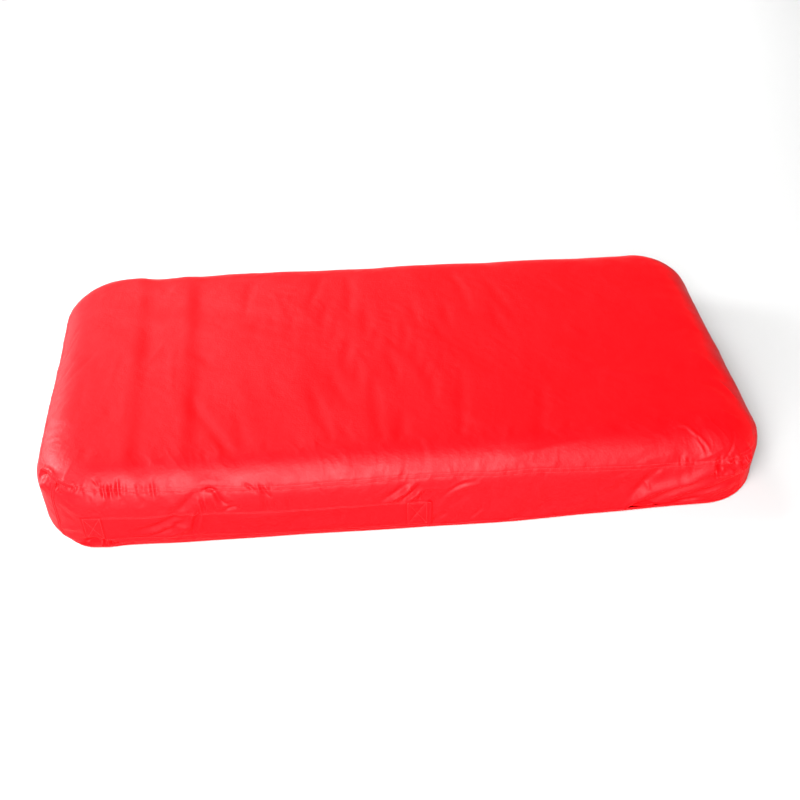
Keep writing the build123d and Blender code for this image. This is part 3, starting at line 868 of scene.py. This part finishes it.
red_cloth = cloth_material("cover_nylon", (0.50, 0.0036, 0.008))
red_seam = cloth_material("seam_nylon", (0.49, 0.0036, 0.008), 0.52)
# The strap is a darker, rougher copy of the cover nylon. Its darker colour is painted shade for the dim lower part of
# the band where the strap lies.
strap_with_painted_shade = cloth_material("strap_nylon_painted_shade", (0.47, 0.0022, 0.0065), 0.60)
# The thread is a lighter, pinker copy of the cover nylon: the thread's own red, lifted by a painted highlight that
# stands in for the lit tops of the stitches.
thread_with_painted_highlight = cloth_material("thread", (0.56, 0.030, 0.035), 0.5)
foam_look = porous_material("foam", (0.56, 0.50, 0.35), 900, 0.5 * MM)
wadding_look = porous_material("wadding", (0.30, 0.30, 0.29), 260, 1.2 * MM, 0.95, 0.1)
elastic_look = porous_material("elastic", (0.58, 0.58, 0.55), 1500, 0.4 * MM)


# ---------------------------------------------------------------- the top panel
def top_panel():
    columns = graded(COLUMN_SPACING, U_LEFT, U_RIGHT)[:-1]
    rows = 1 - (1 - np.linspace(0, 1, 34)) ** 1.25
    u = columns[:, None] + 0 * rows
    l = -RING_INSET + (seam_length(u) + RING_INSET) * rows
    points, faces = with_top(sheet_at(u, l)[0], inner_top(inner_points(0.0058, 0.004)))
    piece = make_piece("cover_top", points, faces, "cover", "cover_cloth", red_cloth, ["top_panel"], CLOTH)
    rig.sheet(piece, flat=(2 * HALF_X + 0.05, 2 * HALF_Y + 0.05), held="stretched", rests_on=["pad_wadding"],
             area=round(area_of(points, faces), 3))


# ---------------------------------------------------------------- the bands
def band(name, node, columns, rows, length):
    """Cloth from the top seam down to the foot lip; length is its declared flat length."""
    u = columns[:, None] + np.zeros(rows)
    first = seam_length(u)
    l = first + (lip_length(u) - first) * np.linspace(0, 1, rows)
    points, _ = sheet_at(u, l)
    faces = grid_faces(len(columns), rows)
    piece = make_piece(name, points, faces, "cover", "cover_cloth", red_cloth, [node], CLOTH)
    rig.sheet(piece, flat=(length, BAND_FLAT_HEIGHT), held="stretched", rests_on=["pad_wadding"],
             area=round(area_of(points, faces), 3))


def seen_band(name, node, low, high):
    band(name, node, graded(COLUMN_SPACING, low, high), 46, round(high - low, 3))


def back_u(side):
    """u at the middle of a far corner."""
    radius = RADIUS_LEFT if side < 0 else RADIUS_RIGHT
    return side * (HALF_X - radius + radius * np.pi * 0.75 + 2 * (HALF_Y - radius))


def back_band():
    """The far band runs across the end of u, so its two halves are joined here."""
    left = evenly(0.007, U_LEFT, back_u(-1))
    right = evenly(0.007, back_u(1), U_RIGHT)
    band("cover_back_band", "back_band", np.concatenate([right, left[1:]]), 30, BACK_FLAT_LENGTH)


# ---------------------------------------------------------------- tapes that lie on the cover
def tape(name, node, u, l, lift, **join):
    """A strip of seam cloth that follows the creased cover, lifted off it."""
    points, _ = sheet_at(u, l, lift)
    faces = grid_faces(*points.shape[:2], **join)
    make_piece(name, points, faces, "cover", "seam_cloth", red_seam, [node], TAPE)


def rounded(across, rise, edge=0.16):
    """The height of a tape across its width, rounded down at both edges; across is 0 to 1."""
    return rise * (smooth(across / edge) * smooth((1 - across) / edge)) - 0.3 * MM * (1 - smooth(across * 20))


def top_fell():
    columns = graded(COLUMN_SPACING, U_LEFT, U_RIGHT)[:-1]
    across = np.linspace(0, 1, 13)
    half = 4.6 * MM
    u = columns[:, None] + 0 * across
    l = seam_length(u) + (across * 2 - 1) * half
    needle = NEEDLE_GAP / 2 / half
    rise = rounded(across, 0.55 * MM, 0.22)
    for side in (-1, 1):
        rise = rise - 0.4 * MM * bell((across * 2 - 1 - side * needle) / 0.20)
    ripple = 0.14 * MM * waves(as_path(u), 0.012, 21)
    tape("cover_top_fell", "top_seam_fell", u, l, rise + ripple * smooth(across * 4), closed=True)


def corner_fell(name, node, place):
    rows = np.linspace(0, 1, 60)
    across = np.linspace(0, 1, 9)
    first = seam_length(place) + 3.5 * MM
    length = lip_length(place) - first
    u = place + (across * 2 - 1) * 4 * MM + 0 * rows[:, None]
    l = first + length * rows[:, None] + 0 * across
    rise = rounded(across, 0.8 * MM) - 1.5 * MM * bell((across * 2 - 1) / 0.22) + 0 * rows[:, None]
    tape(name, node, u, l, rise, flip=True)


def foot_lip():
    columns = evenly(HEM_PITCH, U_LEFT, U_RIGHT)[:-1]
    turn = np.linspace(-0.35, 1.35, 9) * np.pi
    u = columns[:, None] + 0 * turn
    wander = 0.5 * MM * waves(as_path(columns), 0.03, 31)
    l = lip_length(u) - np.cos(turn) * 1.8 * MM + wander[:, None]
    tape("cover_foot_lip", "foot_seam_lip", u, l, 0.2 * MM + np.sin(turn) * 1.1 * MM, closed=True)


# ---------------------------------------------------------------- stitching
def stitch_line(path_u, path_l, lift, pitch=STITCH_PITCH):
    """Stitch centres, directions and ups at an even pitch along a line on the cover."""
    points, normals = sheet_at(path_u, path_l, lift)
    run = np.concatenate([[0], np.cumsum(np.linalg.norm(np.diff(points, axis=0), axis=1))])
    at = np.arange(pitch / 2, run[-1], pitch)

    def sample(values, places):
        return np.stack([np.interp(places, run, values[:, k]) for k in range(3)], -1)

    ahead, back = sample(points, at + 0.3 * MM), sample(points, at - 0.3 * MM)
    return sample(points, at), unit(ahead - back), unit(sample(normals, at))


def sew(name, lines, length=2.7 * MM, radius=0.36 * MM):
    """One piece of thread stitches, each a short bar whose ends dive into the cloth."""
    stations = np.array([-1.0, -0.8, -0.4, 0.0, 0.4, 0.8, 1.0])
    sides = 6
    angle = np.arange(sides) * 2 * np.pi / sides
    shape = []
    for s in stations:
        size = radius * math.sqrt(max(0.12, 1 - abs(s) ** 3))
        sink = -0.45 * MM * abs(s) ** 2.5
        for a in angle:
            shape.append((s * length / 2, math.cos(a) * size, math.sin(a) * size + sink))
    shape = np.array(shape)
    count = len(shape)
    ring = []
    for i in range(len(stations) - 1):
        for k in range(sides):
            j = (k + 1) % sides
            ring.append((i * sides + k, i * sides + j, (i + 1) * sides + j, (i + 1) * sides + k))
    ring.append(tuple(range(sides))[::-1])
    ring.append(tuple(range(count - sides, count)))
    points, faces = [], []
    for centre, along, up in lines:
        side = unit(np.cross(up, along))
        up = unit(np.cross(along, side))
        for c, a, s, n in zip(centre, along, side, up):
            start = len(points) * count
            points.append(c + shape[:, :1] * a + shape[:, 1:2] * s + shape[:, 2:] * n)
            faces += [tuple(i + start for i in face) for face in ring]
    make_piece(name, np.array(points), faces, "cover", "seam_cloth", thread_with_painted_highlight)


def sew_top():
    u = np.arange(U_LEFT, U_RIGHT, 1.2 * MM)
    lines = [stitch_line(u, seam_length(u) + side * NEEDLE_GAP / 2, 0.30 * MM) for side in (-1, 1)]
    sew("stitches_top_seam", lines, 2.2 * MM, 0.50 * MM)


def sew_corners(places):
    lines = []
    rows = np.linspace(0, 1, 110)
    for place in places:
        first = seam_length(place) + 4 * MM
        l = first + (lip_length(place) - first) * rows
        lines += [stitch_line(place + side * 3 * MM + 0 * rows, l, 0.5 * MM) for side in (-1, 1)]
    sew("stitches_corner_seams", lines)


# ---------------------------------------------------------------- the side strap
STRAP_LEFT_U = -0.524
STRAP_RIGHT_U = 0.0345
STRAP_TOP = [(-0.53, 0.056), (-0.50, 0.051), (-0.45, 0.051), (-0.37, 0.046), (-0.1, 0.046), (0.04, 0.0495)]
STRAP_FOOT = [(-0.53, 0.105), (-0.49, 0.103), (-0.44, 0.102), (-0.31, 0.100), (-0.1, 0.103), (0.04, 0.1065)]
STRAP_TURN = 0.036
STRAP_WIDTH = 0.050


def strap_point(u, across):
    """l on the strap at u; across is 0 at its upper edge and 1 at its lower edge."""
    upper = seam_length(u) + track(u, STRAP_TOP)
    lower = np.minimum(seam_length(u) + track(u, STRAP_FOOT), lip_length(u) - 2.5 * MM)
    return upper + (lower - upper) * across


def strap_lift(u):
    """The strap's right end stands off the band a little."""
    return 0.7 * MM + 2.6 * MM * smooth((u - STRAP_RIGHT_U + 0.009) / 0.008)


def box_lines(low, high):
    """The stitched box with a cross at an end of the strap, as lines in (u, across)."""
    corners = [(low, 0.06), (high, 0.06), (high, 0.94), (low, 0.94)]
    return [(corners[i], corners[j]) for i, j in ((0, 1), (1, 2), (2, 3), (3, 0), (0, 2), (1, 3))]


STRAP_BOXES = (box_lines(STRAP_LEFT_U + 0.002, STRAP_LEFT_U + 0.030)
               + box_lines(STRAP_RIGHT_U - STRAP_TURN - 0.002, STRAP_RIGHT_U - 0.007))


def strap_dents(u, across):
    """Where the stitching pulls the strap down."""
    v = across * STRAP_WIDTH
    rows = sum(bell((v - place * STRAP_WIDTH) / (1.3 * MM)) for place in (0.05, 0.95))
    total = 0.4 * MM * rows
    for (u0, a0), (u1, a1) in STRAP_BOXES:
        v0 = a0 * STRAP_WIDTH
        du, dv = u1 - u0, (a1 - a0) * STRAP_WIDTH
        t = np.clip(((u - u0) * du + (v - v0) * dv) / (du * du + dv * dv), 0, 1)
        gap = np.hypot(u - u0 - t * du, v - v0 - t * dv)
        total = np.maximum(total, 1.3 * MM * bell(gap / (1.7 * MM)))
    return total


def strap_sheet(name, node, low, high, extra):
    columns = evenly(0.0016 if high - low < 0.1 else 0.0024, low, high)
    across = np.linspace(0, 1, 41)
    u = columns[:, None] + 0 * across
    edge = np.minimum(across, 1 - across)
    lift = strap_lift(u) + extra - strap_dents(u, across)
    lift -= (0.9 * MM + extra * 0.6) * (1 - smooth(edge / 0.02))
    points, _ = sheet_at(u, strap_point(u, across), lift)
    faces = grid_faces(len(columns), len(across))
    make_piece(name, points, faces, "cover", "strap_cloth", strap_with_painted_shade, [node], CLOTH)


def strap():
    strap_sheet("strap_main", "side_strap", STRAP_LEFT_U, STRAP_RIGHT_U, 0.0)
    strap_sheet("strap_end_left", "strap_turn_left", STRAP_LEFT_U - 0.002, STRAP_LEFT_U + 0.032, 0.8 * MM)
    turn = STRAP_RIGHT_U - STRAP_TURN
    strap_sheet("strap_end_right", "strap_turn_right", turn - 0.004, STRAP_RIGHT_U + 0.001, 0.8 * MM)
    run = np.linspace(STRAP_LEFT_U + 0.030, turn, 500)
    lines = [stitch_line(run, strap_point(run, across), 0.75 * MM) for across in (0.05, 0.95)]
    t = np.linspace(0, 1, 90)
    for (u0, a0), (u1, a1) in STRAP_BOXES:
        u, across = u0 + (u1 - u0) * t, a0 + (a1 - a0) * t
        lines.append(stitch_line(u, strap_point(u, across), strap_lift(u) + 0.05 * MM, 3.0 * MM))
    sew("stitches_strap", lines, 2.2 * MM, 0.48 * MM)


# ---------------------------------------------------------------- under the pad
def hem():
    """The gathered cloth under the pad, with the casing rolled round the elastic at its inner edge."""
    columns = evenly(HEM_PITCH, U_LEFT, U_RIGHT)[:-1]
    rows = np.linspace(0, 1, 26)
    u = columns[:, None] + 0 * rows
    start = point(u, lip_length(u))
    path = as_path(columns)
    gather = (waves(path, 0.017, 41) + 0.5 * waves(path, 0.009, 42)).clip(-1.6, 2.4)[:, None]
    # the elastic's own line, and the way outward from it
    x0, y0, nx, ny = outline(columns)
    inset = HALF_Y - ELASTIC_HEART[1] - ELASTIC_TURN
    near = np.stack([x0 - nx * inset, y0 - ny * inset], -1)
    heart = np.clip(near, -ELASTIC_HEART, ELASTIC_HEART)
    outward = unit(near - heart)
    line = heart + outward * ELASTIC_TURN
    # drawn in flat under the pad, ruffled between the edge and the casing
    across = np.clip((rows - 0.12) / 0.88, 0, 1)[None, :, None]
    end = (line + outward * 0.5 * MM)[:, None, :]
    level = start[..., :2] + (end - start[..., :2]) * across
    low = LIP_HEIGHT * (1 - np.sin(np.clip(rows * 3, 0, 1) * np.pi / 2)) + 0.9 * MM
    ruffle = 1.5 * MM * (gather + 1.1).clip(0) * smooth((rows - 0.15) / 0.7) * smooth((1 - rows) / 0.10)
    flat = np.concatenate([level, (low + ruffle)[..., None]], -1)
    # the casing
    turn = np.linspace(0.05, 1.9, 15) * np.pi
    tube = 3.5 * MM * (1 + 0.03 * gather)
    ring = line[:, None, :] - outward[:, None, :] * (tube * np.sin(turn))[..., None]
    seat = 0.7 * MM + 0.9 * MM * smooth((turn / np.pi - 1.4) / 0.3)
    casing = np.concatenate([ring, np.maximum(ELASTIC_HEIGHT - tube * np.cos(turn), seat)[..., None]], -1)
    points = np.concatenate([flat, casing], axis=1)
    faces = grid_faces(len(columns), points.shape[1], closed=True)
    piece = make_piece("cover_hem", points, faces, "cover", "cover_cloth", red_cloth, ["hem_skirt"], 0.6 * MM)
    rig.sheet(piece, flat=HEM_FLAT, held="gathered", rests_on=["pad_foam"],
             area=round(area_of(points, faces), 3))


# ---------------------------------------------------------------- the filling
def surface_tree(name):
    """The outer surface of a piece, to keep what is under it inside."""
    mesh = bpy.data.objects[name].data
    faces = [list(f.vertices) for f in mesh.polygons]
    return BVHTree.FromPolygons([v.co.copy() for v in mesh.vertices], faces)


def tuck(points, tree, gap):
    """Moves any point that is nearer the surface than gap, or outside it, to that depth."""
    moved = np.array(points)
    for _ in range(2):
        for i, p in enumerate(moved):
            near, normal, _, _ = tree.find_nearest(Vector(p), 0.03)
            if near is not None and (near - Vector(p)).dot(normal) < gap:
                moved[i] = near - normal * gap
    return moved


def wadding_sag(base):
    """How far the wadding lies below the cover's smooth surface."""
    return PAD_GAP + 0.7 * MM * waves(base, 0.05, 51) + 0.4 * MM * waves(base, 0.018, 52)


def wadding():
    columns = graded([(place, 1.2 * gap) for place, gap in COLUMN_SPACING], U_LEFT, U_RIGHT)[:-1]
    rows = np.linspace(0, 1, 54)
    u = columns[:, None] + 0 * rows
    foot_l = lip_length(u) - 1.0 * MM
    l = -RING_INSET + (foot_l + RING_INSET) * rows
    base = point(u, l)
    step = 0.2 * MM
    normal = -unit(np.cross(point(u + step, l) - base, point(u, l + step) - base))
    sag = wadding_sag(base)
    hollow = relief(base, u, l - seam_length(u))
    for _ in range(4):
        hollow = np.minimum(hollow, np.minimum(np.roll(hollow, 1, 0), np.roll(hollow, -1, 0)))
        hollow[:, 1:] = np.minimum(hollow[:, 1:], hollow[:, :-1])
        hollow[:, :-1] = np.minimum(hollow[:, :-1], hollow[:, 1:])
    strip = base - normal * np.maximum(sag, 4.5 * MM - hollow)[..., None]
    flat = flat_top(inner_points(0.012, 0.006))
    flat[:, 2] -= wadding_sag(flat)
    points, faces = with_top(strip, flat)
    piece = make_piece("pad_wadding", points, faces, "pad", "wadding", wadding_look, ["wadding_layer"],
                       WADDING_SHELL)
    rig.padded(piece, 0.9)


def foam_piece(name, node, voxel):
    """A foam part remeshed from its CAD solid, with cut faces that are not quite flat."""
    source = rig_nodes[node]
    mesh = source.data.copy()
    piece = bpy.data.objects.new(name, mesh)
    bpy.context.scene.collection.objects.link(piece)
    remesh = piece.modifiers.new("even", "REMESH")
    remesh.mode = "VOXEL"
    remesh.voxel_size = voxel
    graph = bpy.context.evaluated_depsgraph_get()
    made = bpy.data.meshes.new_from_object(piece.evaluated_get(graph))
    piece.modifiers.clear()
    piece.data = made
    points = of_vertices(made, "co")
    cut = 0.25 * MM * (waves(points, 0.03, 61) - 1.5)
    keep = smooth((points[:, 2] - 0.001) / 0.004)
    points += of_vertices(made, "normal") * (cut * keep)[:, None]
    points = tuck(points, under, 5.5 * MM)
    # the foam's foot rests on the drawn-in hem round its edge, and on the ground inside it
    past = np.abs(points[:, :2]) - ELASTIC_HEART
    inside = ELASTIC_TURN - np.linalg.norm(np.maximum(past, 0), axis=1) - np.minimum(past.max(1), 0)
    points[:, 2] = np.maximum(points[:, 2], 0.4 * MM + 8.4 * MM * (1 - smooth((inside - 4 * MM) / (13 * MM))))
    made.vertices.foreach_set("co", points.ravel())
    made.materials.clear()
    made.materials.append(foam_look)
    made.shade_smooth()
    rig.ride(piece, "pad")
    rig.slot(piece, "foam")
    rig.replaces(piece, node)
    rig.padded(piece, 1.0)


# ---------------------------------------------------------------- build
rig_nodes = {o["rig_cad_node"] if isinstance(o.get("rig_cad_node"), str) else o.name: o
            for o in bpy.context.scene.objects if "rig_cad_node" in o}

FAR_LEFT_SEAM = back_u(-1)
FAR_RIGHT_SEAM = back_u(1)

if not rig.quick():
    simulated = settle()
top_panel()
seen_band("cover_front_band", "front_band", FRONT_LEFT_SEAM, FRONT_RIGHT_SEAM)
seen_band("cover_left_band", "left_end_band", FAR_LEFT_SEAM, FRONT_LEFT_SEAM)
seen_band("cover_right_band", "right_end_band", FRONT_RIGHT_SEAM, FAR_RIGHT_SEAM)
back_band()
top_fell()
corner_fell("cover_corner_fell_fl", "corner_seam_fl", FRONT_LEFT_SEAM)
corner_fell("cover_corner_fell_fr", "corner_seam_fr", FRONT_RIGHT_SEAM)
corner_fell("cover_corner_fell_bl", "corner_seam_bl", FAR_LEFT_SEAM)
corner_fell("cover_corner_fell_br", "corner_seam_br", FAR_RIGHT_SEAM)
foot_lip()
strap()
hem()
sew_top()
sew_corners((FRONT_LEFT_SEAM, FRONT_RIGHT_SEAM, FAR_LEFT_SEAM, FAR_RIGHT_SEAM))
wadding()
under = surface_tree("pad_wadding")
foam_piece("pad_foam", "foam_main_block", 6 * MM)
foam_piece("pad_head_lower", "head_pad_lower", 2 * MM)
foam_piece("pad_head_upper", "head_pad_upper", 1.5 * MM)
for node in ("hem_elastic", "elastic_joiner"):
    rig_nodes[node].data.materials.clear()
    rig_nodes[node].data.materials.append(elastic_look)


# ---------------------------------------------------------------- stage, light and camera
def studio():
    floor_mesh = bpy.data.meshes.new("floor")
    angles = np.linspace(0, 2 * np.pi, 96, endpoint=False)
    rim = [(FLOOR_RADIUS * math.cos(a), FLOOR_RADIUS * math.sin(a), 0) for a in angles]
    floor_mesh.from_pydata(rim, [], [tuple(range(len(rim)))])
    floor = bpy.data.objects.new("floor", floor_mesh)
    bpy.context.scene.collection.objects.link(floor)
    material = bpy.data.materials.new("floor")
    material.use_nodes = True
    shader = material.node_tree.nodes["Principled BSDF"]
    shader.inputs["Base Color"].default_value = (0.38, 0.38, 0.38, 1)
    shader.inputs["Roughness"].default_value = 0.9
    floor.data.materials.append(material)
    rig.stage(floor)
    # pale up to a little above the horizon, dim overhead
    world = bpy.data.worlds.new("studio")
    world.use_nodes = True
    nodes, links = world.node_tree.nodes, world.node_tree.links
    place = nodes.new("ShaderNodeTexCoord")
    split = nodes.new("ShaderNodeSeparateXYZ")
    ramp = nodes.new("ShaderNodeValToRGB")
    ramp.color_ramp.elements[0].position = 0.20
    ramp.color_ramp.elements[0].color = (0.65, 0.65, 0.65, 1)
    ramp.color_ramp.elements[1].position = 0.34
    ramp.color_ramp.elements[1].color = (0.065, 0.065, 0.065, 1)
    links.new(place.outputs["Generated"], split.inputs["Vector"])
    links.new(split.outputs["Z"], ramp.inputs["Fac"])
    links.new(ramp.outputs["Color"], nodes["Background"].inputs["Color"])
    bpy.context.scene.world = world

    def area(name, place, size, power, target, spread=180):
        lamp = bpy.data.lights.new(name, "AREA")
        lamp.size = size
        lamp.energy = power
        lamp.spread = math.radians(spread)
        light = bpy.data.objects.new(name, lamp)
        light.location = place
        light.rotation_euler = (Vector(target) - Vector(place)).to_track_quat("-Z", "Y").to_euler()
        bpy.context.scene.collection.objects.link(light)

    area("key", (-0.50, -2.35, 2.05), 2.3, 266, (0, 0, 0.05))
    area("front", (-0.9, -2.6, 0.6), 1.0, 26, (0, 0, 0.05))
    area("left", (-2.6, 0.8, 1.2), 1.2, 112, (0, 0, 0.1))
    area("backdrop", (-0.9, 3.1, 2.2), 2.2, 66, (0.1, 2.4, 0), 85)


CAMERA_TURNS = (-4.79, 41.03, -0.83)
CAMERA_LENS = 49.09
CAMERA_PLACE = (2.0319, 0.0112, 0.0172)


def camera():
    """Looks at the pad: the turns are azimuth, elevation and roll, and the place is from the origin."""
    azimuth, elevation, roll = (math.radians(degrees) for degrees in CAMERA_TURNS)
    back = Vector((math.sin(azimuth) * math.cos(elevation), -math.cos(azimuth) * math.cos(elevation),
                   math.sin(elevation)))
    right = Vector((math.cos(azimuth), math.sin(azimuth), 0))
    up = back.cross(right)
    right, up = (right * math.cos(roll) + up * math.sin(roll), up * math.cos(roll) - right * math.sin(roll))
    data = bpy.data.cameras.new("camera")
    data.lens = CAMERA_LENS
    data.sensor_width = 36
    data.clip_end = 50
    seen = bpy.data.objects.new("camera", data)
    away, aside, above = CAMERA_PLACE
    place = back * away + right * aside + up * above
    seen.matrix_world = Matrix((right, up, back)).transposed().to_4x4()
    seen.location = place
    bpy.context.scene.collection.objects.link(seen)
    bpy.context.scene.camera = seen


studio()
camera()
bpy.context.scene.view_settings.view_transform = "Standard"
bpy.context.scene.view_settings.look = "High Contrast"

visual_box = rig.bounds()
with open("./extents.json", "w") as size_file:
    json.dump({"cad": [list(c) for c in CAD_BOX], "visual": [list(c) for c in visual_box]}, size_file)
